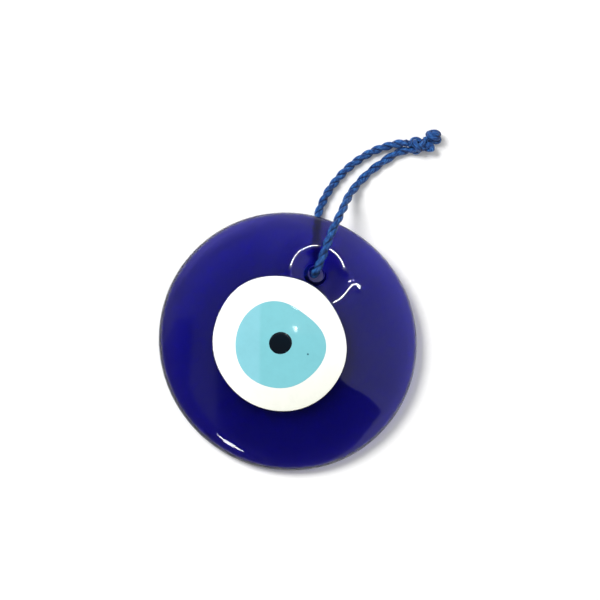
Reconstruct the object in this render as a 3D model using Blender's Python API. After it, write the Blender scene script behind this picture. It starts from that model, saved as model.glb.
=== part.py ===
"""Evil eye ornament: a disc of fused glass with an eye let into its face, and a loop of twisted cord
knotted through its hole. It lies face up, leaning on the leg of the cord that runs out under it.

Run it with: blender --background --python part.py
Metres, +Z up. The origin is under the middle of the disc, on the surface that it lies on. +Y points
from the middle of the disc to its hole, and the loop lies beyond the hole.
"""

import math

import bmesh
import bpy
import numpy as np
from mathutils import Matrix, Vector

MM = 0.001
GAP = 0.3 * MM  # between pieces that touch on the real object
MERGE = 0.001 * MM
SHARP_EDGE = math.radians(35)  # edges that turn more than this are shaded as creases

# The disc, in its own frame: its flat back is at Z = 0 and its middle is at X = Y = 0.
DISC_R = 35.0 * MM
MIDDLE_H = 6.6 * MM
DOME_DROP = 1.3 * MM  # how far the face falls from the middle to the edge, before the edge is rounded
FACE_ROUND_W = 4.2 * MM
FACE_ROUND_H = 2.9 * MM
FLAT_R = 16.0 * MM  # the part of the back that is truly flat
BACK_RISE = 0.4 * MM
BACK_ROUND_W = 3.2 * MM
EDGE_H = MIDDLE_H - DOME_DROP - FACE_ROUND_H  # height of the widest line of the rim
BACK_ROUND_H = EDGE_H - BACK_RISE
LEAN = math.radians(2.3)  # the cord under the glass lifts the side of the hole by this much
DISC_STEPS = 80
ARC_STEPS = 5
FACE_RINGS = (25.0 * MM, 19.0 * MM, 12.0 * MM)  # rings of corners between the rim's curve and the middle
REST_SAMPLES = 2001  # radii that are tried for the lowest point of the leaning back

# The punched hole: a wide shallow crater, a funnel, a short throat and a flared way out at the back.
HOLE_Y = 19.4 * MM
THROAT_R = 2.0 * MM
FUNNEL_R = 4.3 * MM
CRATER_R = 7.2 * MM
CRATER_DEPTH = 0.45 * MM
CRATER_OVER = 0.05 * MM  # the crater's slope meets this height over the dome, so that it cuts it all round
FUNNEL_DEPTH = 1.9 * MM
FLARE_R = 4.2 * MM
FLARE_H = 2.2 * MM
HOLE_STEPS = 40
OVERSHOOT = 1.0 * MM  # how far a cutter runs past the glass

# The glass of the eye, in millimetres: middle, mean radius, (lobes, size, direction in degrees) of its
# outline, the depth at its edge and at its middle, the steps round it, and its colour.
WHITE = {
    "middle": (-2.3, -2.4), "radius": 18.1,
    "lobes": ((2, 0.34, -36), (3, 0.07, 2), (5, 0.08, 5), (6, 0.07, 21)),
    "edge": 0.8, "depth": 2.4, "steps": 72, "color": (0.93, 0.93, 0.88),
}
LIGHT_BLUE = {
    "middle": (-2.2, -3.0), "radius": 11.85,
    "lobes": ((2, 0.33, 3), (3, 0.40, 16), (4, 0.17, 31), (5, 0.08, 28)),
    "edge": 0.6, "depth": 1.5, "steps": 60, "color": (0.25, 0.66, 0.73),
}
PUPIL = {
    "middle": (-2.15, -2.35), "radius": 3.08, "lobes": ((2, 0.09, 50),),
    "edge": 0.45, "depth": 0.9, "steps": 32, "color": (0.004, 0.007, 0.017),
}
LENS_RINGS = (1.0, 0.75, 0.45)  # rings of corners in a layer, as shares of its radius

# The cord: 2.1 mm twisted twine, from the knot over the face, down the hole, and back under the glass.
CORD_R = 1.05 * MM
CORD_SPACING = 2.1 * MM
PATH_SAMPLES = 40  # points that are read from the curve between two points of a route
CORD_ROUTE = (
    (11.8, 63.5, 1.40), (9.6, 62.35, 1.20), (8.1, 60.4, 1.15), (6.2, 57.6, 1.10), (3.8, 53.4, 1.06),
    (2.0, 48.9, 1.45), (0.7, 43.9, 3.70), (0.2, 39.2, 7.10), (-0.2, 35.2, 9.05), (-0.5, 31.3, 9.50),
    (-0.5, 27.4, 9.50), (-0.4, 23.8, 9.30), (-0.35, 21.0, 8.10), (-0.3, 19.7, 6.40), (-0.25, 19.45, 4.60),
    (-0.4, 19.95, 2.65), (-0.8, 21.4, 1.20), (-1.45, 23.5, 0.83), (-3.1, 28.6, 0.92), (-4.8, 33.8, 1.06),
    (-5.2, 39.2, 1.06), (-4.7, 44.2, 1.06), (-3.0, 50.0, 1.06), (-0.5, 55.0, 1.06), (2.8, 59.5, 1.20),
    (6.2, 62.5, 1.75), (8.5, 63.9, 2.65), (10.7, 64.85, 3.15),
)
TAIL_SPACING = 1.0 * MM
UPPER_TAIL_ROUTE = ((14.4, 67.45, 2.5), (15.0, 68.2, 2.4), (15.9, 69.2, 2.3), (17.1, 70.5, 2.3))
LOWER_TAIL_ROUTE = ((15.65, 65.6, 2.1), (16.5, 66.1, 1.6), (17.3, 66.1, 1.35), (17.9, 65.4, 1.15))
UPPER_TAIL_END_R = 1.95 * MM  # its cut end has opened out into a tuft

# The knot: a barrel on the line of the two legs.
KNOT_MIDDLE = (13.2 * MM, 65.3 * MM, 2.45 * MM)
KNOT_TURN = math.radians(33)
KNOT_HALF = (1.9 * MM, 2.5 * MM, 2.4 * MM)
KNOT_SEGMENTS = 20
KNOT_RINGS = 12

COBALT = (0.020, 0.018, 0.300)
GLASS_ROUGHNESS = 0.06
CORD_BLUE = (0.022, 0.090, 0.400)
CORD_ROUGHNESS = 0.6


def clear_scene():
    for obj in list(bpy.data.objects):
        bpy.data.objects.remove(obj, do_unlink=True)


def material(name, color, roughness):
    made = bpy.data.materials.new(name)
    made.use_nodes = True
    shader = made.node_tree.nodes["Principled BSDF"]
    shader.inputs["Base Color"].default_value = (*color, 1.0)
    shader.inputs["Roughness"].default_value = roughness
    shader.inputs["Metallic"].default_value = 0.0
    return made


def finish_mesh(name, bm, parent):
    """Closes a bmesh into a smooth-shaded object under parent."""
    bmesh.ops.remove_doubles(bm, verts=bm.verts, dist=MERGE)
    bmesh.ops.recalc_face_normals(bm, faces=bm.faces)
    mesh = bpy.data.meshes.new(name)
    bm.to_mesh(mesh)
    bm.free()
    mesh.shade_smooth()
    mesh.set_sharp_from_angle(angle=SHARP_EDGE)
    obj = bpy.data.objects.new(name, mesh)
    bpy.context.scene.collection.objects.link(obj)
    obj.parent = parent
    return obj


def empty(name, location, rotation=(0.0, 0.0, 0.0)):
    obj = bpy.data.objects.new(name, None)
    obj.location = location
    obj.rotation_euler = rotation
    bpy.context.scene.collection.objects.link(obj)
    return obj


def make_cutter(obj):
    obj.hide_render = True
    obj.display_type = "WIRE"
    return obj


def cut(obj, cutter):
    modifier = obj.modifiers.new(cutter.name, "BOOLEAN")
    modifier.operation = "DIFFERENCE"
    modifier.solver = "EXACT"
    modifier.object = cutter


def round_drop(r, width, height):
    """How far a rounded edge has dropped at radius r: a quarter ellipse that ends upright at the rim."""
    t = min(max((r - (DISC_R - width)) / width, 0.0), 1.0)
    return height * (1 - math.sqrt(1 - t * t))


def face_height(r):
    """Height of the domed face at radius r."""
    return MIDDLE_H - DOME_DROP * (r / DISC_R) ** 2 - round_drop(r, FACE_ROUND_W, FACE_ROUND_H)


def back_height(r):
    """Height of the back at radius r: flat, then rising gently, then rounded to the rim."""
    t = max((r - FLAT_R) / (DISC_R - FLAT_R), 0.0)
    return BACK_RISE * t * t + round_drop(r, BACK_ROUND_W, BACK_ROUND_H)


def disc_profile():
    """(radius, height) of half the disc's section, from the middle of the back round to the face's."""
    angles = [math.pi / 2 * i / ARC_STEPS for i in range(ARC_STEPS + 1)]
    back_radii = [0.0, FLAT_R, (FLAT_R + DISC_R - BACK_ROUND_W) / 2]
    back_radii += [DISC_R - BACK_ROUND_W * (1 - math.sin(a)) for a in angles]
    face_radii = [DISC_R - FACE_ROUND_W * (1 - math.sin(a)) for a in reversed(angles)][1:]
    face_radii += [*FACE_RINGS, 0.0]
    return [(r, back_height(r)) for r in back_radii] + [(r, face_height(r)) for r in face_radii]


def spin_closed(bm, profile, steps):
    """Spins a profile's corners and edges once round Z."""
    whole_turn = {"cent": (0, 0, 0), "axis": (0, 0, 1), "angle": math.tau}
    bmesh.ops.spin(bm, geom=profile, steps=steps, use_merge=True, **whole_turn)


def turned(name, profile, steps, parent):
    """A solid turned round Z from (radius, height) points whose first and last lie on the axis."""
    bm = bmesh.new()
    corners = [bm.verts.new((r, 0.0, h)) for r, h in profile]
    edges = [bm.edges.new(pair) for pair in zip(corners, corners[1:])]
    spin_closed(bm, corners + edges, steps)
    return finish_mesh(name, bm, parent)


def outline_radius(layer, angle, grow):
    radius = layer["radius"]
    for count, size, turn in layer["lobes"]:
        radius += size * math.cos(count * (angle - math.radians(turn)))
    return radius * MM + grow


def lens(name, layer, parent, grow=0.0, rise=0.0):
    """A pool of glass let into the face. Its top follows the dome, raised by rise, and its underside is
    a bowl: the edge's depth plus the rest times 1 less the square of the share of the radius."""
    shares = [*LENS_RINGS, 0.0]
    bm = bmesh.new()
    profile = [(s, 0.0, -1.0) for s in reversed(shares)] + [(s, 0.0, 1.0) for s in shares]
    corners = [bm.verts.new(point) for point in profile]
    edges = [bm.edges.new(pair) for pair in zip(corners, corners[1:])]
    spin_closed(bm, corners + edges, layer["steps"])
    middle = Vector((*layer["middle"], 0.0)) * MM
    for vert in bm.verts:
        share = math.hypot(vert.co.x, vert.co.y)
        angle = math.atan2(vert.co.y, vert.co.x)
        reach = share * outline_radius(layer, angle, grow)
        x = middle.x + reach * math.cos(angle)
        y = middle.y + reach * math.sin(angle)
        top = face_height(math.hypot(x, y))
        bowl = layer["edge"] + (layer["depth"] - layer["edge"]) * (1 - share * share)
        vert.co = (x, y, top + rise if vert.co.z > 0 else top - bowl * MM - grow)
    return finish_mesh(name, bm, parent)


def pocket(name, layer, parent):
    """The cutter for a layer's seat: the same pool, one gap larger, and open at the top."""
    return make_cutter(lens(name, layer, parent, grow=GAP, rise=OVERSHOOT))


def hole_cutter(parent):
    """The punch: crater, funnel, throat and flare in one turned cutter, moved to the hole's axis."""
    face = face_height(HOLE_Y)
    profile = [
        (0.0, -OVERSHOOT), (FLARE_R, -OVERSHOOT), (FLARE_R, 0.0), (THROAT_R, FLARE_H),
        (THROAT_R, face - FUNNEL_DEPTH), (FUNNEL_R, face - CRATER_DEPTH), (CRATER_R, face + CRATER_OVER),
        (CRATER_R, face + OVERSHOOT), (0.0, face + OVERSHOOT),
    ]
    obj = turned("hole_cutter", profile, HOLE_STEPS, parent)
    obj.location = (0.0, HOLE_Y, 0.0)
    return make_cutter(obj)


def disc_frame():
    """The empty that leans the glass: it puts the lowest point of the rim at Z = 0."""
    radii = np.linspace(0.0, DISC_R, REST_SAMPLES)
    lowest = min(back_height(r) * math.cos(LEAN) - r * math.sin(LEAN) for r in radii)
    return empty("disc_lean", (0.0, EDGE_H * math.sin(LEAN), -lowest), (LEAN, 0.0, 0.0))


def make_disc(frame):
    disc = turned("cobalt_disc", disc_profile(), DISC_STEPS, frame)
    disc.data.materials.append(material("cobalt_glass", COBALT, GLASS_ROUGHNESS))
    cut(disc, pocket("white_pocket", WHITE, frame))
    cut(disc, hole_cutter(frame))


def make_layer(name, glass, layer, frame):
    obj = lens(name, layer, frame)
    obj.data.materials.append(material(glass, layer["color"], GLASS_ROUGHNESS))
    return obj


def make_eye(frame):
    """The three layers of the eye, each let into the one before it."""
    white = make_layer("white_layer", "white_glass", WHITE, frame)
    light_blue = make_layer("light_blue_layer", "light_blue_glass", LIGHT_BLUE, frame)
    make_layer("pupil", "black_glass", PUPIL, frame)
    cut(white, pocket("light_blue_pocket", LIGHT_BLUE, frame))
    cut(light_blue, pocket("pupil_pocket", PUPIL, frame))


def smooth_path(route, spacing):
    """Points about every spacing along the Catmull-Rom curve through route, given in millimetres."""
    points = np.array(route) * MM
    ends = np.vstack([2 * points[0] - points[1], points, 2 * points[-1] - points[-2]])
    a, b, c, d = (ends[i : len(ends) - 3 + i, None, :] for i in range(4))
    t = np.linspace(0, 1, PATH_SAMPLES, endpoint=False)[None, :, None]
    curve = 2 * b + (c - a) * t
    curve += (2 * a - 5 * b + 4 * c - d) * t**2
    curve += (3 * b - a - 3 * c + d) * t**3
    curve = np.vstack([curve.reshape(-1, 3) / 2, points[-1]])
    run = np.concatenate([[0], np.cumsum(np.linalg.norm(np.diff(curve, axis=0), axis=1))])
    at = np.linspace(0, run[-1], round(run[-1] / spacing) + 1)
    return np.stack([np.interp(at, run, curve[:, i]) for i in range(3)], axis=1)


def cord_piece(name, route, spacing, parent, color, end_r=CORD_R):
    """A round cord along route, whose radius grows evenly to end_r. Where its line is lower than its
    radius, the glass above squeezes it."""
    path = smooth_path(route, spacing)
    radii = np.linspace(CORD_R, end_r, len(path))
    data = bpy.data.curves.new(name, "CURVE")
    data.dimensions = "3D"
    data.bevel_depth = CORD_R
    data.bevel_resolution = 2
    data.use_fill_caps = True
    spline = data.splines.new("POLY")
    spline.points.add(len(path) - 1)
    for point, place, radius in zip(spline.points, path, radii):
        point.co = (*place, 1.0)
        point.radius = min(radius, place[2]) / CORD_R
    obj = bpy.data.objects.new(name, data)
    bpy.context.scene.collection.objects.link(obj)
    data.materials.append(color)
    hang(obj, parent)
    return obj


def hang(obj, pivot):
    """Parents obj to the loop's pivot and leaves it where it is."""
    obj.parent = pivot
    obj.matrix_parent_inverse = Matrix.Translation(pivot.location).inverted()


def make_knot(pivot, color):
    bm = bmesh.new()
    bmesh.ops.create_uvsphere(bm, u_segments=KNOT_SEGMENTS, v_segments=KNOT_RINGS, radius=1.0)
    shape = Matrix.Rotation(KNOT_TURN, 4, "Z") @ Matrix.Diagonal((*KNOT_HALF, 1.0))
    bmesh.ops.transform(bm, matrix=Matrix.Translation(KNOT_MIDDLE) @ shape, verts=bm.verts)
    knot = finish_mesh("knot", bm, None)
    knot.data.materials.append(color)
    hang(knot, pivot)


def make_loop():
    """The cord, its knot and its two cut ends, under an empty on the axis that the loop swings about."""
    pivot = empty("loop_pivot", (0.0, HOLE_Y, 0.0))
    blue = material("blue_cord", CORD_BLUE, CORD_ROUGHNESS)
    cord_piece("hanging_cord", CORD_ROUTE, CORD_SPACING, pivot, blue)
    cord_piece("upper_tail", UPPER_TAIL_ROUTE, TAIL_SPACING, pivot, blue, UPPER_TAIL_END_R)
    cord_piece("lower_tail", LOWER_TAIL_ROUTE, TAIL_SPACING, pivot, blue)
    make_knot(pivot, blue)


clear_scene()
glass_frame = disc_frame()
make_disc(glass_frame)
make_eye(glass_frame)
make_loop()
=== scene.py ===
"""Looks of the evil eye ornament: fused glass and twisted cord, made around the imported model.

It is laid out as a Blender add-on and is run as a script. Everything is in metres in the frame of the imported
model: +Z up, the disc's middle over the origin, the hole and the cord loop towards +Y. The glass is worked
out in the disc's own frame, whose back is at Z = 0, and then leaned as the disc leans on its cord.
"""

import math

import bpy
import numpy as np
from bpy.props import FloatProperty, FloatVectorProperty, IntProperty, PointerProperty
from mathutils import Matrix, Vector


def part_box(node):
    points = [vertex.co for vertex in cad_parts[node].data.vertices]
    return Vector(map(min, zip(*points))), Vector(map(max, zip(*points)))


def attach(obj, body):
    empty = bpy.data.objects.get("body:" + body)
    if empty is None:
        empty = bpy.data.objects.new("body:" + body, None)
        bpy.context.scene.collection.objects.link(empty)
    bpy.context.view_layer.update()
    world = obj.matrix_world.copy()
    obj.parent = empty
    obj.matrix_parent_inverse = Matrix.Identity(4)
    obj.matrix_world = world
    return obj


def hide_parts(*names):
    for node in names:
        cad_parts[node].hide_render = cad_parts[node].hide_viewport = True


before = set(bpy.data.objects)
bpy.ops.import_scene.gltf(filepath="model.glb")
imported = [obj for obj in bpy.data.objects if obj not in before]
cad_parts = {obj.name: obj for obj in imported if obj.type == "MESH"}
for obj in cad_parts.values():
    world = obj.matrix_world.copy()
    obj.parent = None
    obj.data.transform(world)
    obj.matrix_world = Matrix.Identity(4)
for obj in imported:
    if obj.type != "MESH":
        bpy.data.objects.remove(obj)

bl_info = {
    "name": "Evil eye ornament",
    "version": (1, 0, 0),
    "blender": (4, 5, 0),
    "location": "View3D > Sidebar > Ornament",
    "description": "Builds a fused glass eye on a knotted loop of twisted cord",
    "category": "Add Mesh",
}

MM = 0.001
TURN = 2 * math.pi
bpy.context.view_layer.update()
DISC_LOW, DISC_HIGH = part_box("cobalt_disc")

# Outlines of the layers: (lobes round the outline, size in millimetres, direction in degrees).
WHITE_LOBES = ((2, 0.34, -36), (3, 0.07, 2), (5, 0.08, 5), (6, 0.07, 21))
LIGHT_BLUE_LOBES = ((2, 0.33, 3), (3, 0.40, 16), (4, 0.17, 31), (5, 0.08, 28))
PUPIL_LOBES = ((2, 0.09, 50),)

# The punched hole's face, in millimetres: (distance from its axis, height over the dome). From the throat
# up the funnel, over the crater to the raised lip, and down to the dome.
FUNNEL = (
    (2.2, -2.45), (2.25, -2.10), (2.45, -1.80), (2.95, -1.42), (3.5, -1.04), (4.0, -0.74), (4.4, -0.57),
)
HOLE_FACE = (
    *FUNNEL, (5.0, -0.46), (5.5, -0.30), (6.0, -0.10), (6.4, 0.044), (6.75, 0.108), (7.1, 0.134),
    (7.45, 0.1498), (7.8, 0.155), (8.15, 0.1498), (8.6, 0.132), (9.2, 0.10), (10.0, 0.055), (10.9, 0.015),
    (11.8, 0.0), (12.4, 0.0),
)
# The same on the side where the crater has no lip: it runs out into the dome as a parabola does.
HOLE_FACE_LOW = (
    *FUNNEL, (4.9, -0.477), (5.5, -0.38), (6.0, -0.31), (6.5, -0.246), (7.0, -0.189), (7.5, -0.14),
    (8.0, -0.0975), (8.5, -0.063), (9.0, -0.036), (9.5, -0.0165), (10.0, -0.0045), (10.55, 0.0), (12.4, 0.0),
)
# The line of the fold that the lip ends in: distance from the hole in millimetres and direction in degrees.
FOLD_LINE = (
    (9.15, -60.0), (9.15, -44.8), (9.2, -37.1), (9.3, -28.1), (9.35, -14.7), (9.48, -4.2), (10.25, 4.8),
    (11.46, 6.1), (12.14, 3.4),
)
# Curvature across the fold, per metre, at two distances from the hole in millimetres.
FOLD_BENDS = ((9.4, 60.0), (11.5, 20.0))
# Slow waves of the poured face: (size, turns along X and along Y in radians per 10 mm, phase).
WAVES = ((1.0, 3.1, 1.3, 0.0), (0.8, 1.7, -3.7, 1.1), (0.6, 4.9, 3.3, 2.0))
# The hole's way out at the back, in millimetres: (distance from its axis, height over the back's plane).
HOLE_BACK = ((4.5, 0.0), (4.1, 0.12), (3.4, 0.80), (2.7, 1.60), (2.3, 2.15), (2.2, 2.70), (2.2, 3.20))

# The cord's centre line in metres, from the knot over the face, down the hole and back under the glass.
CORD_ROUTE = MM * np.array((
    (11.8, 63.5, 1.40), (9.6, 62.35, 1.20), (8.1, 60.4, 1.15), (6.2, 57.6, 1.10), (3.8, 53.4, 1.06),
    (2.0, 48.9, 1.45), (0.7, 43.9, 3.70), (0.2, 39.2, 7.10), (-0.2, 35.2, 9.05), (-0.5, 31.3, 9.50),
    (-0.5, 27.4, 9.50), (-0.4, 23.8, 9.30), (-0.35, 21.0, 8.10), (-0.3, 19.7, 6.40), (-0.25, 19.45, 4.60),
    (-0.4, 19.95, 2.65), (-0.8, 21.4, 1.20), (-1.45, 23.5, 0.83), (-3.1, 28.6, 0.92), (-4.8, 33.8, 1.06),
    (-5.2, 39.2, 1.06), (-4.7, 44.2, 1.06), (-3.0, 50.0, 1.06), (-0.5, 55.0, 1.06), (2.8, 59.5, 1.20),
    (6.2, 62.5, 1.75), (8.5, 63.9, 2.65), (10.7, 64.85, 3.15),
))
# The lay changes between these shares of the cord's length, as it runs through the hole.
LAY_CHANGE = (0.25, 0.5)
# A direction that the cord never follows.
CORD_SIDE = (0.9, -0.44, 0)
# The knot, which both legs run into: one strand wraps round the other, and each ends in a cut end.
KNOT_ROUTES = MM * np.array((
    ((11.2, 63.4, 1.5), (12.2, 63.9, 1.9), (13.3, 64.7, 2.9), (14.1, 65.9, 3.4), (13.8, 66.8, 2.7),
     (12.7, 66.8, 2.1), (11.8, 66.1, 2.6), (12.1, 65.2, 3.7), (13.1, 64.6, 3.8), (14.3, 64.7, 3.0),
     (15.1, 65.4, 2.3)),
    ((10.4, 64.6, 3.1), (11.2, 64.9, 2.9), (11.9, 65.1, 2.3), (12.4, 65.0, 1.5), (12.9, 64.4, 1.2),
     (13.7, 64.3, 1.3), (14.3, 65.1, 1.5), (14.4, 66.1, 1.9), (14.4, 66.9, 2.3), (14.7, 67.5, 2.5),
     (15.0, 68.0, 2.5)),
))
KNOT_CENTRE = MM * np.array((13.1, 65.3, 2.4))
# The upper end has drawn up into a small hard tuft, and the lower one is cut off short.
UPPER_END_ROUTE = MM * np.array((
    (14.6, 67.4, 2.4), (15.39, 68.46, 2), (16.81, 68.96, 1.4), (18.05, 69.49, 1.6), (17.73, 70.44, 1.8),
    (17.31, 70.98, 2.2), (16.18, 70.59, 2.3), (15.09, 70.06, 2.3), (15.38, 69.32, 2.9),
    (16.21, 69.1, 3.3), (17.3, 69.63, 3.4), (17.25, 70.31, 3.2), (16.37, 70.08, 3.3), (16, 69.66, 3),
))
UPPER_END_CENTRE = MM * np.array((16.5, 69.8, 2.5))
LOWER_END_ROUTE = MM * np.array(((14.9, 65.5, 2.6), (15.7, 66.3, 2.4), (16.6, 66.3, 2.0), (17.1, 65.3, 1.6)))
# The least share of its width that a closed end of a strand keeps.
NOSE_SHARE = 0.02

# The ornament's right and up as it is looked at.
FACE_RIGHT, FACE_UP = (0.93, 0.36, 0), (-0.36, 0.93, 0)
# What stands over the glass: outlines in millimetres to the right of and up from the middle of the disc.
FIGURES = {
    "dark_left": ((-38, 74), (-6000, 90), (-6000, -6000), (-38, -6000)),
    "dark_below": ((-14, 62), (-14, -6000), (3000, -6000), (640, -700), (204, -48), (122, 16), (95, 62)),
}
WINDOW = (
    (-134, -190), (-150, -276), (-178, -300), (-140, -312), (-120, -318), (-86, -310), (-78, -206),
    (-98, -196), (-110, -184),
)
GLASS_IOR = 1.5
PLAIN = (1, 1, 1)


def length(name, description, millimetres):
    """A length, given in millimetres and kept in metres."""
    return FloatProperty(name=name, description=description, default=millimetres * MM, unit="LENGTH",
                         precision=5)


def angle(name, description, degrees):
    """An angle, given in degrees and kept in radians."""
    return FloatProperty(name=name, description=description, default=math.radians(degrees),
                         subtype="ANGLE", unit="ROTATION")


def number(name, description, value, unit="NONE"):
    """A number that is never negative."""
    return FloatProperty(name=name, description=description, default=value, min=0.0, unit=unit)


def spot(name, description, metres):
    """A point, or a place on the face."""
    return FloatVectorProperty(name=name, description=description, size=len(metres), default=metres,
                               unit="LENGTH")


def color(name, description, rgb):
    """A colour with linear red, green and blue."""
    return FloatVectorProperty(name=name, description=description, default=rgb, min=0.0, max=1.0,
                               subtype="COLOR")


def steps(name, description, count):
    """A number of rows or columns of faces."""
    return IntProperty(name=name, description=description, default=count, min=3)


class GlassDiscSettings(bpy.types.PropertyGroup):
    """Sizes and colours of the cobalt glass disc."""

    radius: length("Radius", "Radius of the disc", (DISC_HIGH.x - DISC_LOW.x) / 2 / MM)
    middle_height: length("Middle height", "Thickness of the glass at its middle", 6.6)
    dome_drop: length("Dome drop", "How far the face falls from the middle to the rim", 1.3)
    face_round_width: length("Face round width", "Width of the rounding between face and rim", 4.2)
    face_round_height: length("Face round height", "Height of the rounding between face and rim", 2.9)
    flat_radius: length("Flat radius", "Radius of the flat part of the back", 16.0)
    back_rise: length("Back rise", "How far the back rises from its flat part to the rim", 0.4)
    back_round_width: length("Back round width", "Width of the rounding between back and rim", 3.2)
    lean: angle("Lean", "How far the disc is tipped by the cord under it", 2.3)
    ripple: length("Ripple", "Height of the slow waves that the poured face keeps", 0.006)
    hole_offset: length("Hole offset", "Distance from the middle of the disc to the hole", 19.4)
    lip_start: angle("Lip start", "Direction from the hole in which the lip starts", 9.0)
    lip_growth: angle("Lip growth", "Turn about the hole over which the lip grows", 26.0)
    lip_fade: length("Lip fade", "Width in which the lip fades out beside the white glass", 2.6)
    crater_fade: length("Crater fade", "Width in which the crater fades out there", 0.6)
    fold_tail: length("Fold tail", "Distance of its tail from the hole", 9.3)
    fold_sink: length("Fold sink", "How far the tail's top lies under the dome", 0.0234)
    fold_climb: number("Fold climb", "Rise of its top per square of its distance, per metre", 2.02)
    fold_top: length("Fold top", "Distance from its line in which there is only fold", 0.6)
    fold_side: length("Fold side", "Width in which it runs into the glass beside it", 1.3)
    density: number("Density", "How fast light fades in the glass, per metre", 460.0)
    color: color("Glass colour", "Colour that the glass lets through", (0.05, 0.02, 0.775))
    calm: length("Calm", "Distance out to which the rows are circles about the hole", 11.0)
    around: steps("Steps round", "Columns of faces round the hole", 384)
    hole_rows: steps("Hole rows", "Rows from the throat out to the calm", 74)
    face_rows: steps("Face rows", "Rows from the calm to the rounding", 62)
    rim_rows: steps("Rim rows", "Rows of the rounding between face and rim", 25)
    edge_rows: steps("Edge rows", "Rows of the rounding between rim and back", 15)
    back_rows: steps("Back rows", "Rows of the back", 30)


class EyeLayerSettings(bpy.types.PropertyGroup):
    """Sizes and colours of the three layers of the eye."""

    white_middle: spot("White middle", "Middle of the white layer", (-2.3 * MM, -2.4 * MM))
    white_radius: length("White radius", "Mean radius of the white layer", 18.1)
    white_depth: length("White depth", "Depth of the white layer at its middle", 2.4)
    light_blue_middle: spot("Light blue middle", "Middle of the iris", (-2.2 * MM, -3.0 * MM))
    light_blue_radius: length("Light blue radius", "Mean radius of the iris", 11.85)
    light_blue_depth: length("Light blue depth", "Depth of the iris at its middle", 1.5)
    pupil_middle: spot("Pupil middle", "Middle of the pupil", (-2.15 * MM, -2.35 * MM))
    pupil_radius: length("Pupil radius", "Radius of the pupil", 3.08)
    pupil_depth: length("Pupil depth", "Depth of the pupil at its middle", 0.9)
    edge_depth: length("Edge depth", "Depth of each layer at its edge", 0.7)
    proud: length("Proud", "How far each layer stands over the one before it", 0.035)
    edge_round: length("Edge round", "Width of the rounding at each layer's edge", 0.45)
    edge_fall: number("Edge fall", "How far a layer's edge falls, as a share of proud", 1.7)
    edge_rows: steps("Edge rows", "Rows of the rounding at each layer's edge", 9)
    speck: spot("Speck", "Where the dark speck in the iris is", (5.76 * MM, -2.29 * MM))
    white: color("White", "Colour of the white glass", (0.89, 0.89, 0.87))
    cream: color("Cream", "Colour of the white glass at its lower side", (0.76, 0.77, 0.68))
    light_blue: color("Light blue", "Colour of the light blue glass", (0.19, 0.515, 0.57))
    # The iris's paler side: its light blue with a painted reflection laid over it.
    painted_reflection_blue: color("Pale blue", "Colour of the iris's paler side", (0.222, 0.54, 0.612))
    black: color("Pupil colour", "Colour of the pupil's glass", (0.003, 0.008, 0.014))
    brown: color("Pupil's edge", "Colour of the pupil's glass at its lower side", (0.004, 0.006, 0.010))


class CordSettings(bpy.types.PropertyGroup):
    """Sizes and colours of the twisted cord and its knot."""

    diameter: length("Diameter", "Width of the twisted cord", 2.1)
    ply_radius: length("Ply radius", "Radius of each of the two plies", 0.79)
    ply_offset: length("Ply offset", "Distance from the cord's line to the middle of a ply", 0.38)
    front_lay: length("Front lay", "Length of one turn of the plies over the glass", 9.0)
    back_lay: length("Back lay", "Length of one turn of the plies under the glass", 6.2)
    nose: length("Nose", "Length in which the cord's closed ends narrow", 0.8)
    knot_nose: length("Knot nose", "Length in which the knot's strands narrow", 0.5)
    knot_squeeze: number("Knot squeeze", "Width of the knot's strands over the cord's", 0.93)
    lower_growth: number("Lower growth", "Share that the lower cut end thickens by", 0.5)
    growth_speed: number("Growth speed", "How fast it gets there", 1.6)
    floor_gap: length("Floor gap", "Least height of the cord over the floor", 0.01)
    step: length("Step", "Distance between rows of faces of the cord", 0.22)
    knot_step: length("Knot step", "Distance between rows of faces of the knot", 0.16)
    columns: steps("Columns", "Columns of faces round the cord", 56)
    knot_columns: steps("Knot columns", "Columns of faces round a strand of the knot", 48)
    blue: color("Cord blue", "Colour of the cord", (0.006, 0.046, 0.20))
    # Part real filament tone, part painted highlight that stands for the satin's sheen.
    light: color("Filament blue", "Colour of the brightest filaments", (0.045, 0.19, 0.50))
    # Part real filament tone, part painted shade between the filaments.
    dark: color("Groove blue", "Colour between the filaments", (0.0015, 0.008, 0.05))


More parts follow.
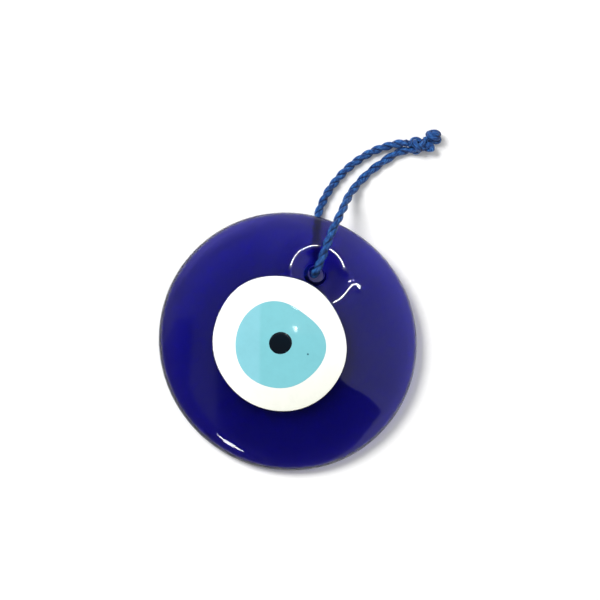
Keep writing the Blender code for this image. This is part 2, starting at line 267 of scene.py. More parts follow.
class StageSettings(bpy.types.PropertyGroup):
    """Camera, lights and floor."""

    camera_distance: length("Camera distance", "From the camera to the ornament", 600.0)
    camera_tilt: angle("Camera tilt", "How far the camera leans from straight overhead", 15.0)
    camera_side: angle("Camera side", "Direction that the camera leans to, from +X", 252.3)
    picture_turn: angle("Picture turn", "Direction in the picture that the camera leans to", 230.0)
    lens: number("Lens", "Focal length", 134.08, "CAMERA")
    aim_right: length("Aim right", "How far right of the rim's middle the camera aims", 3.0)
    aim_up: length("Aim up", "How far above the rim's middle the camera aims", 10.85)
    floor: color("Floor", "Colour of the floor", (0.9, 0.9, 0.895))
    floor_size: length("Floor size", "Width of the floor", 3000.0)
    floor_depth: length("Floor depth", "How far the floor lies under the ornament", 0.02)
    room_light: number("Room light", "Strength of the light from all round", 0.60)
    key_place: spot("Key", "Where the key light is", (-0.62, 0.05, 0.72))
    key_size: length("Key size", "Width of the key light", 450.0)
    key_power: number("Key power", "Power of the key light", 9.4, "POWER")
    lamp_place: spot("Lamp", "Where the lamp over the hole is", (0.037, 0.1391, 0.45))
    lamp_size: length("Lamp size", "Width of the lamp", 9.5)
    lamp_power: number("Lamp power", "Power of the lamp", 0.022, "POWER")
    glint_place: spot("Glint", "Where the lamp over the eye is", (0.0365, 0.080, 0.45))
    glint_size: length("Glint size", "Width of the lamp over the eye", 3.6)
    glint_power: number("Glint power", "Power of the lamp over the eye", 0.0014, "POWER")
    ceiling_height: length("Ceiling", "Height of the ceiling", 620.0)
    ceiling_size: length("Ceiling size", "Width of the ceiling", 12000.0)
    ceiling_left: number("Ceiling left", "Light of the ceiling's left", 0.24)
    ceiling_right: number("Ceiling right", "Light of the ceiling's right", 0.60)
    figure_height: length("Figures", "Height of the dark figures over the table", 500.0)
    figure_light: number("Figure light", "Light of the dark figures", 0.04)
    window_height: length("Window", "Height of the low window", 300.0)
    window_light: number("Window light", "Light of the window", 24.0)


# ---- Shapes


def smoothstep(x):
    """0 below 0, 1 above 1, and 3x^2 - 2x^3 between."""
    x = np.clip(x, 0, 1)
    return x * x * (3 - 2 * x)


def smooth_path(points, samples=40):
    """The Catmull-Rom curve through the points: each stretch is the cubic whose slope at a point is half
    the step between that point's neighbours."""
    points = np.asarray(points, float)
    padded = np.vstack([2 * points[0] - points[1], points, 2 * points[-1] - points[-2]])
    a, b, c, d = (padded[i : len(padded) - 3 + i, None, :] for i in range(4))
    t = np.linspace(0, 1, samples, endpoint=False)[None, :, None]
    curve = 2 * b + (c - a) * t + (2 * a - 5 * b + 4 * c - d) * t**2 + (3 * b - a - 3 * c + d) * t**3
    return np.vstack([curve.reshape(-1, points.shape[1]) / 2, points[-1]])


def run_of(path):
    """Distance along a path at each of its points."""
    return np.concatenate([[0], np.cumsum(np.linalg.norm(np.diff(path, axis=0), axis=1))])


def spaced_path(points, spacing):
    """The smooth path through the points, with equal steps of about spacing."""
    path = smooth_path(points)
    run = run_of(path)
    at = np.linspace(0, run[-1], round(run[-1] / spacing) + 1)
    return np.stack([np.interp(at, run, path[:, i]) for i in range(path.shape[1])], axis=1)


def add_mesh(name, points, quads, triangles=(), uv=None):
    """A smooth-shaded object from corner positions, quads and triangles, with its faces turned outwards:
    they are all turned round if the volume that they enclose comes out negative. uv has one pair for each
    corner of each face, quads first."""
    points = np.asarray(points, float).reshape(-1, 3)
    quads = np.asarray(quads, int).reshape(-1, 4)
    triangles = np.asarray(triangles, int).reshape(-1, 3)
    halves = np.vstack([quads[:, [0, 1, 2]], quads[:, [0, 2, 3]], triangles])
    if np.linalg.det(points[halves]).sum() < 0:
        quads, triangles = quads[:, ::-1], triangles[:, ::-1]
        if uv is not None:
            split = 4 * len(quads)
            uv = np.vstack([uv[:split].reshape(-1, 4, 2)[:, ::-1].reshape(-1, 2),
                            uv[split:].reshape(-1, 3, 2)[:, ::-1].reshape(-1, 2)])
    corners = np.concatenate([quads.ravel(), triangles.ravel()])
    starts = np.concatenate([np.arange(len(quads)) * 4, 4 * len(quads) + np.arange(len(triangles)) * 3])
    mesh = bpy.data.meshes.new(name)
    mesh.vertices.add(len(points))
    mesh.vertices.foreach_set("co", points.astype(np.float32).ravel())
    mesh.loops.add(len(corners))
    mesh.loops.foreach_set("vertex_index", corners.astype(np.int32))
    mesh.polygons.add(len(starts))
    mesh.polygons.foreach_set("loop_start", starts.astype(np.int32))
    mesh.update(calc_edges=True)
    if uv is not None:
        mesh.uv_layers.new(name="length").data.foreach_set("uv", uv.astype(np.float32).ravel())
    mesh.validate()
    mesh.shade_smooth()
    obj = bpy.data.objects.new(name, mesh)
    bpy.context.scene.collection.objects.link(obj)
    return obj


def ring_quads(rows, columns, closed_rows=False):
    """Quads of a grid whose columns close on themselves, and whose rows do too if closed_rows is set."""
    i = np.arange(rows if closed_rows else rows - 1)[:, None]
    j = np.arange(columns)[None, :]
    after, beside = (i + 1) % rows, (j + 1) % columns
    corners = [i * columns + j, i * columns + beside, after * columns + beside, after * columns + j]
    return np.stack([np.broadcast_to(c, (len(i), columns)) for c in corners], axis=-1).reshape(-1, 4)


def polar_outline(turn, middle_radius, lobes):
    """An outline's radius in each direction: the mean radius plus a cosine for each kind of lobe."""
    radius = np.full_like(turn, middle_radius)
    for count, size, degrees in lobes:
        radius += size * MM * np.cos(count * (turn - math.radians(degrees)))
    return radius


def outside_white(x, y, eye):
    """Distance outwards from the white layer's outline, measured from its middle. Negative inside."""
    x, y = x - eye.white_middle[0], y - eye.white_middle[1]
    return np.hypot(x, y) - polar_outline(np.arctan2(y, x), eye.white_radius, WHITE_LOBES)


def round_drop(r, radius, width, height):
    """How far a rounded edge has dropped at radius r: a quarter ellipse that ends upright at the rim."""
    t = np.clip((r - (radius - width)) / width, 0, 1)
    return height * (1 - np.sqrt(1 - t * t))


def edge_height(glass):
    """Height of the rim's widest line over the back's plane."""
    return glass.middle_height - glass.dome_drop - glass.face_round_height


def dome_height(x, y, glass):
    """The domed face without its hole: a paraboloid, rounded at the rim, plus slow waves that are sums of
    sines and fade out at the rim."""
    r = np.hypot(x, y)
    share = np.minimum(r / glass.radius, 1)
    dome = glass.middle_height - glass.dome_drop * share**2
    dome = dome - round_drop(r, glass.radius, glass.face_round_width, glass.face_round_height)
    u, v = x / (10 * MM), y / (10 * MM)
    waves = sum(size * np.sin(right * u + up * v + phase) for size, right, up, phase in WAVES)
    return dome + glass.ripple * waves * (1 - share**6)


def back_height(r, glass):
    """The back: flat, then rising as a parabola, then a quarter ellipse up to the rim."""
    share = np.clip((r - glass.flat_radius) / (glass.radius - glass.flat_radius), 0, 1)
    round_height = edge_height(glass) - glass.back_rise
    return glass.back_rise * share**2 + round_drop(r, glass.radius, glass.back_round_width, round_height)


def face_height(x, y, glass, eye):
    """The face with its punched hole: the dome plus the hole's section turned round its axis. The section
    has a lip on one side of the hole and none on the other, where a fold lies. It fades out where the white
    glass begins, the lip sooner than the crater."""
    outside = outside_white(x, y, eye)
    high, low = smooth_path(HOLE_FACE) * MM, smooth_path(HOLE_FACE_LOW) * MM
    from_hole = np.hypot(x, y - glass.hole_offset)
    turn = np.arctan2(y - glass.hole_offset, x)
    turn = np.where(turn < -TURN / 3, turn + TURN, turn)
    rise_low = np.interp(from_hole, low[:, 0], low[:, 1])
    rise_high = np.interp(from_hole, high[:, 0], high[:, 1])
    rise = rise_low + (rise_high - rise_low) * smoothstep((turn - glass.lip_start) / glass.lip_growth)
    rise = with_fold(x, y, rise, glass)
    fade = smoothstep(outside / np.where(rise > 0, glass.lip_fade, glass.crater_fade))
    return dome_height(x, y, glass) + rise * fade


def with_fold(x, y, rise, glass):
    """The rise round the hole with the fold added: a ridge along a curved line. Its top climbs with the
    square of the distance from the hole, its section is a parabola, flatter towards the head, and it runs
    into the rise beside it."""
    far, way = smooth_path(FOLD_LINE, 6).T
    way = np.radians(way)
    line = far[:, None] * MM * np.stack([np.cos(way), np.sin(way)], axis=1) + (0, glass.hole_offset)
    from_hole = np.hypot(x, y - glass.hole_offset)
    near = from_hole < far.max() * MM + glass.fold_top + glass.fold_side
    from_hole = from_hole[near]
    point = np.stack([x[near], y[near]], axis=-1)[:, None]
    step = np.diff(line, axis=0)
    share = np.clip(((point - line[:-1]) * step).sum(axis=-1) / (step**2).sum(axis=-1), 0, 1)
    gap = np.linalg.norm(point - line[:-1] - share[..., None] * step, axis=-1).min(axis=-1)
    bend = np.interp(from_hole / MM, *np.transpose(FOLD_BENDS))
    climb = glass.fold_climb * (from_hole**2 - glass.fold_tail**2)
    ridge = climb - glass.fold_sink - bend / 2 * gap**2
    mix = 1 - smoothstep((gap - glass.fold_top) / glass.fold_side)
    made = rise.copy()
    made[near] += (ridge - made[near]) * mix
    return made


def leaned(points, glass):
    """Points of the disc's own frame as they lie: tipped about X, with the lowest of the back at Z = 0."""
    r = np.linspace(0, glass.radius, 2001)
    cos, sin = math.cos(glass.lean), math.sin(glass.lean)
    lowest = (back_height(r, glass) * cos - r * sin).min()
    x, y, z = np.moveaxis(np.asarray(points, float), -1, 0)
    return np.stack([x, y * cos - z * sin + edge_height(glass) * sin, y * sin + z * cos - lowest], axis=-1)


def disc_points(glass, eye):
    """The disc as one closed grid. Each column leaves the hole in its own direction: out over the face,
    round the rim, back under the disc and up the wall of the hole. Near the hole the rows are circles about
    it, near the rim they are circles about the disc, and between them each row is the mix of the two."""
    turn = np.linspace(0, TURN, glass.around, endpoint=False)
    ray = np.stack([np.cos(turn), np.sin(turn)], axis=1)
    hole = np.array([0, glass.hole_offset])
    throat, calm = HOLE_FACE[0][0] * MM, glass.calm

    def to_circle(radius):
        along = ray @ hole
        return np.sqrt(along**2 - hole @ hole + radius**2) - along

    face_in = glass.radius - glass.face_round_width
    back_in = glass.radius - glass.back_round_width
    near = throat + (calm - throat) * np.linspace(0, 1, glass.hole_rows)[:, None]
    share = np.linspace(0, 1, glass.face_rows)[1:, None]
    reach = np.vstack([near * np.ones(len(turn)), calm + (to_circle(face_in)[None] - calm) * share])
    face = hole + reach[..., None] * ray
    outward = face[-1] / np.linalg.norm(face[-1], axis=1, keepdims=True)
    bend = np.linspace(0, math.pi / 2, glass.rim_rows)[1:, None]
    rim = (face_in + glass.face_round_width * np.sin(bend))[..., None] * outward
    face = np.vstack([face, rim])
    face = np.dstack([face, face_height(face[..., 0], face[..., 1], glass, eye)])
    bend = np.linspace(math.pi / 2, 0, glass.edge_rows)[1:, None]
    under = (back_in + glass.back_round_width * np.sin(bend))[..., None] * outward
    out = smooth_path(HOLE_BACK, 4) * MM
    share = np.linspace(0, 1, glass.back_rows)[1:-1, None, None]
    under = np.vstack([under, under[-1] + (hole + out[0, 0] * ray - under[-1]) * share])
    under = np.dstack([under, back_height(np.hypot(under[..., 0], under[..., 1]), glass)])
    wall = hole + out[:, :1, None] * ray
    wall = np.dstack([wall, np.broadcast_to(out[:, 1:], wall.shape[:2])])
    return leaned(np.vstack([face, under, wall]), glass)


def layer_points(middle, radius, lobes, depth, proud, glass, eye, around, rings):
    """A pool of glass as (pole on top, rows of points, pole underneath). Its rows are copies of its outline,
    scaled from the middle to the edge and back. The top follows the dome and rounds down at its edge as a
    quarter circle does, and the underside is a bowl: the depth at the edge plus the rest times 1 less the
    square of the share of the radius."""
    turn = np.linspace(0, TURN, around, endpoint=False)
    outline = polar_outline(turn, radius, lobes)
    inset = eye.edge_round * (1 - np.sin(np.linspace(0, math.pi / 2, eye.edge_rows)))
    inner = np.linspace(0, 1, rings)[1:-1, None] * (outline[None] - inset[0])
    top_reach = np.vstack([inner, outline - inset[:, None]])
    under_reach = outline * np.linspace(1, 0, rings)[:-1, None]

    def place(reach):
        x, y = middle[0] + reach * np.cos(turn), middle[1] + reach * np.sin(turn)
        return x, y, dome_height(x, y, glass)

    x, y, dome = place(top_reach)
    edge = np.clip((outline - top_reach) / eye.edge_round, 0, 1)
    fall = eye.proud * eye.edge_fall * (1 - np.sqrt(1 - (1 - edge) ** 2))
    top = np.dstack([x, y, dome + proud - fall])
    x, y, dome = place(under_reach)
    bowl = eye.edge_depth + (depth - eye.edge_depth) * (1 - (under_reach / outline) ** 2)
    under = np.dstack([x, y, dome - bowl])
    dome = dome_height(middle[0], middle[1], glass)
    poles = [[middle[0], middle[1], dome + proud], [middle[0], middle[1], dome - depth]]
    return leaned(np.vstack([poles[:1], np.vstack([top, under]).reshape(-1, 3), poles[1:]]), glass)


def capped_quads(rows, columns):
    """Faces of a grid with a pole before its first row and one after its last: (quads, triangles)."""
    quads = 1 + ring_quads(rows, columns)
    j = np.arange(columns)
    beside = (j + 1) % columns
    last, end = 1 + (rows - 1) * columns, rows * columns + 1
    first = np.stack([np.zeros_like(j), 1 + beside, 1 + j], axis=1)
    final = np.stack([last + j, last + beside, np.full_like(j, end)], axis=1)
    return quads, np.vstack([first, final])


def strand_points(path, twist, cord, swell, reference, columns):
    """A two-ply strand along a path: its section is the outline of two circles side by side, which turns
    with twist along the path. swell scales the section at each point. reference is a direction that the
    path never follows, or one for each of its points, from which the section's own axes are worked out.
    Nothing of it is lower than the floor gap."""
    tangent = np.gradient(path, axis=0)
    tangent /= np.linalg.norm(tangent, axis=1, keepdims=True)
    across = np.cross(tangent, reference)
    across /= np.linalg.norm(across, axis=1, keepdims=True)
    over = np.cross(tangent, across)
    turn = np.linspace(0, TURN, columns, endpoint=False)
    half_chord = np.sqrt(cord.ply_radius**2 - (cord.ply_offset * np.sin(turn)) ** 2)
    section = cord.ply_offset * np.abs(np.cos(turn)) + half_chord
    around = turn[None, :] + twist[:, None]
    reach = (section[None, :] * swell[:, None])[..., None]
    rows = path[:, None] + reach * (np.cos(around)[..., None] * across[:, None]
                                    + np.sin(around)[..., None] * over[:, None])
    rows[..., 2] = np.maximum(rows[..., 2], cord.floor_gap)
    return rows


def strand_faces(path, rows):
    """Closes the rows of a strand with a pole at each end: (points, quads, triangles, UV of the quads, UV
    of the triangles). U runs round the strand from 0 to 1 and V is the distance along it in millimetres."""
    count, columns = rows.shape[:2]
    points = np.vstack([path[:1], rows.reshape(-1, 3), path[-1:]])
    quads, triangles = capped_quads(count, columns)
    along = run_of(path) / MM
    i = np.repeat(np.arange(count - 1), columns)
    j = np.tile(np.arange(columns), count - 1)
    u0, u1 = j / columns, (j + 1) / columns
    quad_uv = np.stack([u0, along[i], u1, along[i], u1, along[i + 1], u0, along[i + 1]], axis=1)
    j = np.arange(columns)
    start, end = np.full(columns, along[0]), np.full(columns, along[-1])
    u0, middle, u1 = j / columns, (j + 0.5) / columns, (j + 1) / columns
    first = np.stack([middle, start, u1, start, u0, start], axis=1)
    final = np.stack([u0, end, u1, end, middle, end], axis=1)
    return points, quads, triangles, quad_uv.reshape(-1, 2), np.vstack([first, final]).reshape(-1, 2)


def joined_strands(name, strands):
    """One object from several strands, each given as (path, rows)."""
    parts = [strand_faces(*strand) for strand in strands]
    shift = np.cumsum([0] + [len(part[0]) for part in parts[:-1]])
    points = np.vstack([part[0] for part in parts])
    quads = np.vstack([part[1] + start for part, start in zip(parts, shift)])
    triangles = np.vstack([part[2] + start for part, start in zip(parts, shift)])
    uv = np.vstack([part[3] for part in parts] + [part[4] for part in parts])
    return add_mesh(name, points, quads, triangles, uv)


def rounded_ends(run, width):
    """A factor along a path that closes both its ends as a round nose does."""
    inwards = np.clip(np.minimum(run, run[-1] - run) / width, 0, 1)
    return np.maximum(np.sqrt(1 - (1 - inwards) ** 2), NOSE_SHARE)


# ---- Materials


class Finish:
    """A material with its shader, and short ways to add the nodes that lead to it."""

    def __init__(self, name, values):
        self.material = bpy.data.materials.new(name)
        self.material.use_nodes = True
        self.nodes, self.links = self.material.node_tree.nodes, self.material.node_tree.links
        self.shader = self.nodes["Principled BSDF"]
        for key, value in values.items():
            self.shader.inputs[key].default_value = value

    def add(self, kind, *inputs, **values):
        """A node with its properties and inputs set. Inputs come by name, or in order, where each is a
        value or another node's output."""
        made = self.nodes.new(kind)
        for key, value in values.items():
            if key in made.inputs:
                made.inputs[key].default_value = value
            else:
                setattr(made, key, value)
        for socket, value in zip(made.inputs, inputs):
            if isinstance(value, bpy.types.NodeSocket):
                self.links.new(value, socket)
            else:
                socket.default_value = value
        return made

    def lead(self, output, name):
        """Leads an output to an input of the shader."""
        self.links.new(output, self.shader.inputs[name])

    def calc(self, operation, *values):
        return self.add("ShaderNodeMath", *values, operation=operation).outputs["Value"]

    def place(self):
        return self.add("ShaderNodeTexCoord").outputs["Object"]

    def along(self, direction):
        """Object coordinates measured along a direction."""
        dot = self.add("ShaderNodeVectorMath", self.place(), direction, operation="DOT_PRODUCT")
        return dot.outputs["Value"]

    def distance(self, point):
        far = self.add("ShaderNodeVectorMath", self.place(), point, operation="DISTANCE")
        return far.outputs["Value"]

    def noise(self, scale, detail=3.0, roughness=0.55, stretch=(1, 1, 1), place=None):
        """Noise on Object coordinates or on others, with scale features per unit."""
        mapping = self.add("ShaderNodeMapping", place or self.place(), Scale=stretch)
        noise = self.add("ShaderNodeTexNoise", mapping.outputs["Vector"], Scale=scale, Detail=detail,
                         Roughness=roughness)
        return noise.outputs["Fac"]

    def spread(self, value, old=(0, 1), new=(0, 1)):
        """The value moved from one range to another and held inside it."""
        return self.add("ShaderNodeMapRange", value, *old, *new).outputs["Result"]

    def ramp(self, amount, *stops):
        """A colour that runs through the stops, each given as (amount, colour)."""
        made = self.add("ShaderNodeValToRGB", amount)
        elements = made.color_ramp.elements
        elements[0].position, elements[1].position = stops[0][0], stops[-1][0]
        for amount, _ in stops[1:-1]:
            elements.new(amount)
        for element, (_, rgb) in zip(elements, stops):
            element.color = (*rgb, 1)
        return made.outputs["Color"]

    def multiplied(self, first, second):
        """Two colours multiplied. Inputs 6 and 7 of the node are its colours and output 2 is the result."""
        mix = self.add("ShaderNodeMix", 1.0, data_type="RGBA", blend_type="MULTIPLY")
        self.links.new(first, mix.inputs[6])
        self.links.new(second, mix.inputs[7])
        return mix.outputs[2]

    def polish(self, low, high):
        """The roughness of a fire polish."""
        return self.spread(self.noise(420, 5, 0.65), new=(low, high))

    def bump(self, height, strength, distance):
        made = self.add("ShaderNodeBump", Strength=strength, Distance=distance)
        self.links.new(height, made.inputs["Height"])
        self.lead(made.outputs["Normal"], "Normal")


def cobalt_glass(glass):
    """Clear cobalt glass: light fades as it runs through. Its tint has streaks, and painted shade darkens it
    towards the lower side. The poured face has a faint orange-peel, and the back, which lay in the mould, is
    dull."""
    finish = Finish("cobalt_glass", {"Transmission Weight": 1.0, "IOR": GLASS_IOR})
    # The tint's amount: streaks in the glass plus painted shade that darkens it towards the lower side.
    streaks = finish.noise(90, 4, 0.6, (1, 0.35, 1))
    height = finish.calc("MULTIPLY_ADD", streaks, 0.022, finish.along(FACE_UP))
    height = finish.spread(height, (-0.024, 0.046))
    finish.lead(finish.ramp(height, (0.0, (0.80, 0.72, 0.70)), (1.0, PLAIN)), "Base Color")
    polished = finish.polish(0.0, 0.035)
    dull = finish.spread(finish.along((0, -0.04, 1)), (0.0019, 0.0032), (0.34, 0.0))
    finish.lead(finish.calc("MAXIMUM", polished, dull), "Roughness")
    finish.bump(finish.noise(260, 2), 0.05, 0.02 * MM)
    fade = finish.add("ShaderNodeVolumeAbsorption", (*glass.color, 1), glass.density)
    finish.links.new(fade.outputs["Volume"], finish.nodes["Material Output"].inputs["Volume"])
    return finish.material


def opal_glass(name, first, second, direction, start, end, speck=None):
    """Opaque glass under a fire polish: one tint runs into a second along a direction between two places,
    under fine speckle. speck is where a dark speck lies."""
    finish = Finish(name, {"IOR": GLASS_IOR})
    run = finish.spread(finish.along(direction), (start, end))
    tint = finish.ramp(run, (0.0, first), (1.0, second))
    speckle = finish.ramp(finish.noise(340, 5, 0.7), (0.3, (0.95, 0.95, 0.95)), (0.6, PLAIN))
    tint = finish.multiplied(tint, speckle)
    if speck is not None:
        far = finish.spread(finish.distance(speck), (0.0, MM))
        tint = finish.multiplied(tint, finish.ramp(far, (0.16, (0.12, 0.2, 0.25)), (0.34, PLAIN)))
    finish.lead(tint, "Base Color")
    finish.lead(finish.polish(0.02, 0.06), "Roughness")
    return finish.material


def cord_fibre(cord):
    """Satin cord: long fine filaments that lean across each ply, with painted highlight and painted shade in
    their tint, plain on the crowns and darkened by painted shade in the grooves between the plies. U runs
    round the cord and V along it in millimetres."""
    finish = Finish("twisted_cord", {
        "Roughness": 0.5, "Specular IOR Level": 0.3, "Sheen Weight": 0.12, "Sheen Roughness": 0.4,
        "Sheen Tint": (0.35, 0.6, 1.0, 1),
    })
    place = finish.add("ShaderNodeUVMap", uv_map="length").outputs["UV"]
    split = finish.add("ShaderNodeSeparateXYZ", place).outputs
    lean = finish.calc("MULTIPLY_ADD", split["Y"], 0.16, split["X"])
    leaning = finish.add("ShaderNodeCombineXYZ", lean, split["Y"]).outputs["Vector"]
    fine = finish.noise(1.0, 3.0, 0.65, (44, 0.9, 1), leaning)
    coarse = finish.noise(1.0, 2.0, 0.65, (11, 0.55, 1), leaning)
    fibre = finish.calc("MULTIPLY", finish.calc("ADD", fine, coarse), 0.5)
    # The filament tint: random streaks, with painted highlight in the brightest filaments and painted shade in
    # the darkest.
    tint = finish.ramp(fibre, (0.38, cord.dark), (0.49, cord.blue), (0.64, cord.light))
    # Painted shade darkens the two grooves, where U is 0.25 and 0.75, and this wave is 0 there.
    crown = finish.calc("ABSOLUTE", finish.calc("COSINE", finish.calc("MULTIPLY", split["X"], TURN)))
    painted_groove_shade = finish.ramp(crown, (0.05, (0.12, 0.12, 0.2)), (0.5, PLAIN))
    finish.lead(finish.multiplied(tint, painted_groove_shade), "Base Color")
    finish.bump(fibre, 0.7, 0.1 * MM)
    return finish.material


def floor_paper(rgb):
    """Pale paper with a fine grain."""
    finish = Finish("pale_paper", {"Roughness": 0.8, "Specular IOR Level": 0.2})
    grain = finish.ramp(finish.noise(900), (0.35, [0.985 * c for c in rgb]), (0.65, rgb))
    finish.lead(grain, "Base Color")
    return finish.material


def glowing(name):
    """A finish that only glows, with no strength set yet."""
    return Finish(name, {"Base Color": (0, 0, 0, 1), "Specular IOR Level": 0, "Emission Color": (1, 1, 1, 1)})


def card_surface(name, strength):
    """A glowing card, a little uneven as cloth and panes are."""
    finish = glowing(name)
    uneven = finish.spread(finish.noise(14), new=(0.5 * strength, 1.5 * strength))
    finish.lead(uneven, "Emission Strength")
    return finish.material


def ceiling_surface(stage):
    """A clouded ceiling that is dim on its left and brightens in one step towards its right."""
    finish = glowing("ceiling_light")
    clouds = finish.noise(9, 4, 0.6)
    ragged = finish.calc("MULTIPLY_ADD", clouds, 0.06, finish.along(FACE_RIGHT))
    step = finish.spread(ragged, (0.07, 0.17), (stage.ceiling_left, stage.ceiling_right))
    uneven = finish.spread(clouds, new=(0.6, 1.4))
    finish.lead(finish.calc("MULTIPLY", step, uneven), "Emission Strength")
    return finish.material


# ---- Pieces


def place_piece(obj, material, body, slot, *nodes):
    """Finishes a piece: its material, the body that it moves with and the CAD nodes that it stands for."""
    obj.data.materials.append(material)
    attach(obj, body)
    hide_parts(*nodes)


def add_card(context, name, corners, surface):
    """One flat staged face."""
    mesh = bpy.data.meshes.new(name)
    mesh.from_pydata(corners, [], [tuple(range(len(corners)))])
    mesh.materials.append(surface)
    card = bpy.data.objects.new(name, mesh)
    context.scene.collection.objects.link(card)
    return card


def square(size, height):
    """Corners of a level square about the upright line."""
    half = size / 2
    return [(-half, -half, height), (half, -half, height), (half, half, height), (-half, half, height)]


class ORNAMENT_OT_stage(bpy.types.Operator):
    """Make the camera, the lights and the floor"""

    bl_idname = "ornament.stage"
    bl_label = "Stage"

    def execute(self, context):
        stage = context.scene.ornament_stage
        glass = context.scene.ornament_glass
        self.make_camera(context, stage, glass)
        add_card(context, "floor", square(stage.floor_size, -stage.floor_depth), floor_paper(stage.floor))
        self.make_world(context, stage)
        self.make_lights(context, stage)
        self.make_room(context, stage)
        return {"FINISHED"}

    def make_camera(self, context, stage, glass):
        """The camera stands on a cone about the upright line. Its picture is turned so that the side it
        leans to lies in the direction picture_turn."""
        side = np.array([math.cos(stage.camera_side), math.sin(stage.camera_side), 0])
        beside = np.array([-side[1], side[0], 0])
        up = np.array([0, 0, 1.0])
        back = math.sin(stage.camera_tilt) * side + math.cos(stage.camera_tilt) * up
        low = math.cos(stage.camera_tilt) * side - math.sin(stage.camera_tilt) * up
        cos, sin = math.cos(stage.picture_turn), math.sin(stage.picture_turn)
        right, top = cos * low - sin * beside, sin * low + cos * beside
        aim = leaned([0, 0, edge_height(glass)], glass) + stage.aim_right * right + stage.aim_up * top
        data = bpy.data.cameras.new("camera")
        data.lens = stage.lens
        camera = bpy.data.objects.new("camera", data)
        axes = np.eye(4)
        axes[:3, 0], axes[:3, 1], axes[:3, 2] = right, top, back
        axes[:3, 3] = aim + stage.camera_distance * back
        camera.matrix_world = Matrix(axes.tolist())
        context.scene.collection.objects.link(camera)
        context.scene.camera = camera

    def make_world(self, context, stage):
        world = context.scene.world = bpy.data.worlds.new("pale_room")
        world.use_nodes = True
        background = world.node_tree.nodes["Background"].inputs
        background["Color"].default_value = (1, 1, 1, 1)
        background["Strength"].default_value = stage.room_light
        context.scene.view_settings.view_transform = "Standard"

    def make_lights(self, context, stage):
        """A soft key that casts the shadow, and two small lamps that only the glass's shine shows."""
        key = self.add_light(context, "key", stage.key_place, stage.key_size, stage.key_power)
        key.visible_glossy = False
        for name, place, size, power in (("lamp", stage.lamp_place, stage.lamp_size, stage.lamp_power),
                                         ("glint", stage.glint_place, stage.glint_size, stage.glint_power)):
            lamp = self.add_light(context, name, place, size, power)
            lamp.visible_diffuse = lamp.visible_transmission = False

    def add_light(self, context, name, place, size, power):
        """A round lamp that faces the middle of the disc."""
        data = bpy.data.lights.new(name, "AREA")
        data.shape, data.size, data.energy = "DISK", size, power
        light = bpy.data.objects.new(name, data)
        light.location = place
        light.rotation_euler = (-light.location).to_track_quat("-Z", "Y").to_euler()
        context.scene.collection.objects.link(light)
        return light

    def make_room(self, context, stage):
        """What the glass mirrors: a pale ceiling, the dark figures of whoever stands over the table, and a
        low window. Only shine shows them."""
        right, up = np.array(FACE_RIGHT[:2]) * MM, np.array(FACE_UP[:2]) * MM

        def on_level(outline, level):
            return [(*(along * right + over * up), level) for along, over in outline]

        dark = card_surface("dark_cloth", stage.figure_light)
        pane = card_surface("window_light", stage.window_light)
        cards = [("ceiling", square(stage.ceiling_size, stage.ceiling_height), ceiling_surface(stage)),
                 ("window", on_level(WINDOW, stage.window_height), pane)]
        for name, outline in FIGURES.items():
            cards.append((name, on_level(outline, stage.figure_height), dark))
        for card in cards:
            made = add_card(context, *card)
            made.visible_camera = made.visible_diffuse = made.visible_transmission = False
            made.visible_shadow = made.visible_volume_scatter = False


class ORNAMENT_OT_cord(bpy.types.Operator):
    """Make the loop of twisted cord"""

    bl_idname = "ornament.cord"
    bl_label = "Cord loop"

    def execute(self, context):
        cord = context.scene.ornament_cord
        path = spaced_path(CORD_ROUTE, cord.step)
        run = run_of(path)
        start, end = LAY_CHANGE
        share = smoothstep((run / run[-1] - start) / (end - start))
        lay = cord.front_lay + (cord.back_lay - cord.front_lay) * share
        twist = np.concatenate([[0], np.cumsum(np.diff(run) * TURN / lay[1:])])
        squeeze = np.minimum(1, path[:, 2] / (cord.diameter / 2))
        swell = squeeze * rounded_ends(run, cord.nose)
        rows = strand_points(path, twist, cord, swell, CORD_SIDE, cord.columns)
        loop = joined_strands("cord_loop", ((path, rows),))
        place_piece(loop, cord_fibre(cord), "loop", "blue_cord", "hanging_cord")
        return {"FINISHED"}


class ORNAMENT_OT_knot(bpy.types.Operator):
    """Make the knot and the two cut ends of the cord"""

    bl_idname = "ornament.knot"
    bl_label = "Knot and ends"

    def execute(self, context):
        cord = context.scene.ornament_cord
        satin = cord_fibre(cord)
        both = [self.strand(cord, route, KNOT_CENTRE) for route in KNOT_ROUTES]
        upper = [self.strand(cord, UPPER_END_ROUTE, UPPER_END_CENTRE)]
        lower = [self.strand(cord, LOWER_END_ROUTE, KNOT_CENTRE, cord.lower_growth)]
        for name, strands, cad in (("cord_knot", both, "knot"), ("upper_cord_end", upper, "upper_tail"),
                                   ("lower_cord_end", lower, "lower_tail")):
            place_piece(joined_strands(name, strands), satin, "loop", "blue_cord", cad)
        return {"FINISHED"}

    def strand(self, cord, route, centre, growth=0.0):
        """The (path, rows) of a strand that winds round a centre, which its section is squared to. growth is
        how much thicker it is at its end, as a share."""
        path = spaced_path(route, cord.knot_step)
        run = run_of(path)
        twist = run * TURN / cord.back_lay
        swell = cord.knot_squeeze * rounded_ends(run, cord.knot_nose)
        swell = swell * (1 + growth * smoothstep(cord.growth_speed * run / run[-1]))
        return path, strand_points(path, twist, cord, swell, path - centre, cord.knot_columns)


class ORNAMENT_OT_disc(bpy.types.Operator):
    """Make the cobalt glass disc with its punched hole"""

    bl_idname = "ornament.disc"
    bl_label = "Glass disc"

    def execute(self, context):
        glass, eye = context.scene.ornament_glass, context.scene.ornament_eye
        points = disc_points(glass, eye)
        disc = add_mesh("glass_disc", points, ring_quads(*points.shape[:2], closed_rows=True))
        place_piece(disc, cobalt_glass(glass), "disc", "cobalt_glass", "cobalt_disc")
        return {"FINISHED"}


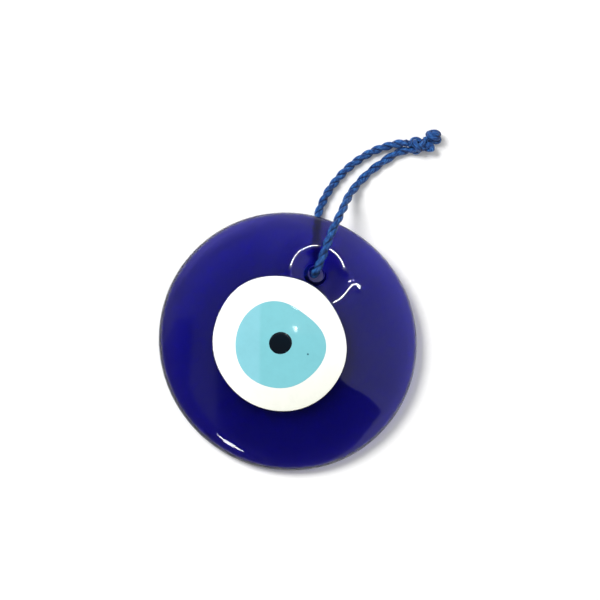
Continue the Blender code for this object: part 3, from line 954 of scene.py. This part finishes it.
class ORNAMENT_OT_eye(bpy.types.Operator):
    """Make the white, light blue and black glass of the eye"""

    bl_idname = "ornament.eye"
    bl_label = "Eye layers"

    def execute(self, context):
        glass, eye = context.scene.ornament_glass, context.scene.ornament_eye
        white = opal_glass("white_glass", eye.cream, eye.white, (-0.62, 0.78, 0), -0.019, -0.004)
        speck = leaned((*eye.speck, glass.middle_height), glass)
        # The iris is paler on its left by a painted reflection, which ends in a sharp step.
        light_blue = opal_glass("light_blue_glass", eye.painted_reflection_blue, eye.light_blue, FACE_RIGHT, -0.0088,
                                -0.0080, speck)
        black = opal_glass("black_glass", eye.brown, eye.black, (0, 1, 0), -0.006, 0.001)
        # From the lowest layer up, each with the columns and the rows of its grid.
        layers = (
            ("white_pool", eye.white_middle, eye.white_radius, WHITE_LOBES, eye.white_depth, 300, 60,
             white, "white_glass", "white_layer"),
            ("light_blue_pool", eye.light_blue_middle, eye.light_blue_radius, LIGHT_BLUE_LOBES,
             eye.light_blue_depth, 240, 44, light_blue, "light_blue_glass", "light_blue_layer"),
            ("pupil_drop", eye.pupil_middle, eye.pupil_radius, PUPIL_LOBES, eye.pupil_depth, 128, 20,
             black, "black_glass", "pupil"),
        )
        for count, layer in enumerate(layers, 1):
            name, middle, radius, lobes, depth, around, rings, glaze, slot, cad = layer
            points = layer_points(middle, radius, lobes, depth, count * eye.proud, glass, eye, around, rings)
            quads, triangles = capped_quads((len(points) - 2) // around, around)
            place_piece(add_mesh(name, points, quads, triangles), glaze, "disc", slot, cad)
        return {"FINISHED"}


class ORNAMENT_PT_panel(bpy.types.Panel):
    """Lists the pieces of the ornament"""

    bl_label = "Evil eye ornament"
    bl_idname = "ORNAMENT_PT_panel"
    bl_space_type = "VIEW_3D"
    bl_region_type = "UI"
    bl_category = "Ornament"

    def draw(self, context):
        for operator in OPERATORS:
            self.layout.operator(operator.bl_idname)
        for name in SETTINGS:
            box = self.layout.box()
            for key in SETTINGS[name].__annotations__:
                box.prop(getattr(context.scene, name), key)


OPERATORS = (ORNAMENT_OT_stage, ORNAMENT_OT_knot, ORNAMENT_OT_cord, ORNAMENT_OT_disc, ORNAMENT_OT_eye)
SETTINGS = {
    "ornament_glass": GlassDiscSettings,
    "ornament_eye": EyeLayerSettings,
    "ornament_cord": CordSettings,
    "ornament_stage": StageSettings,
}
CLASSES = (*SETTINGS.values(), *OPERATORS, ORNAMENT_PT_panel)


def register():
    """Adds the settings, the operators and the panel."""
    for cls in CLASSES:
        bpy.utils.register_class(cls)
    for name, cls in SETTINGS.items():
        setattr(bpy.types.Scene, name, PointerProperty(type=cls))


def unregister():
    """Takes them away again."""
    for name in SETTINGS:
        delattr(bpy.types.Scene, name)
    for cls in reversed(CLASSES):
        bpy.utils.unregister_class(cls)


def main():
    """Builds the ornament on its stage."""
    for name in ("Cube", "Light", "Camera"):
        if name in bpy.data.objects:
            bpy.data.objects.remove(bpy.data.objects[name], do_unlink=True)
    register()
    bpy.ops.ornament.stage()
    bpy.ops.ornament.knot()
    bpy.ops.ornament.cord()
    bpy.ops.ornament.disc()
    bpy.ops.ornament.eye()


if __name__ == "__main__":
    main()
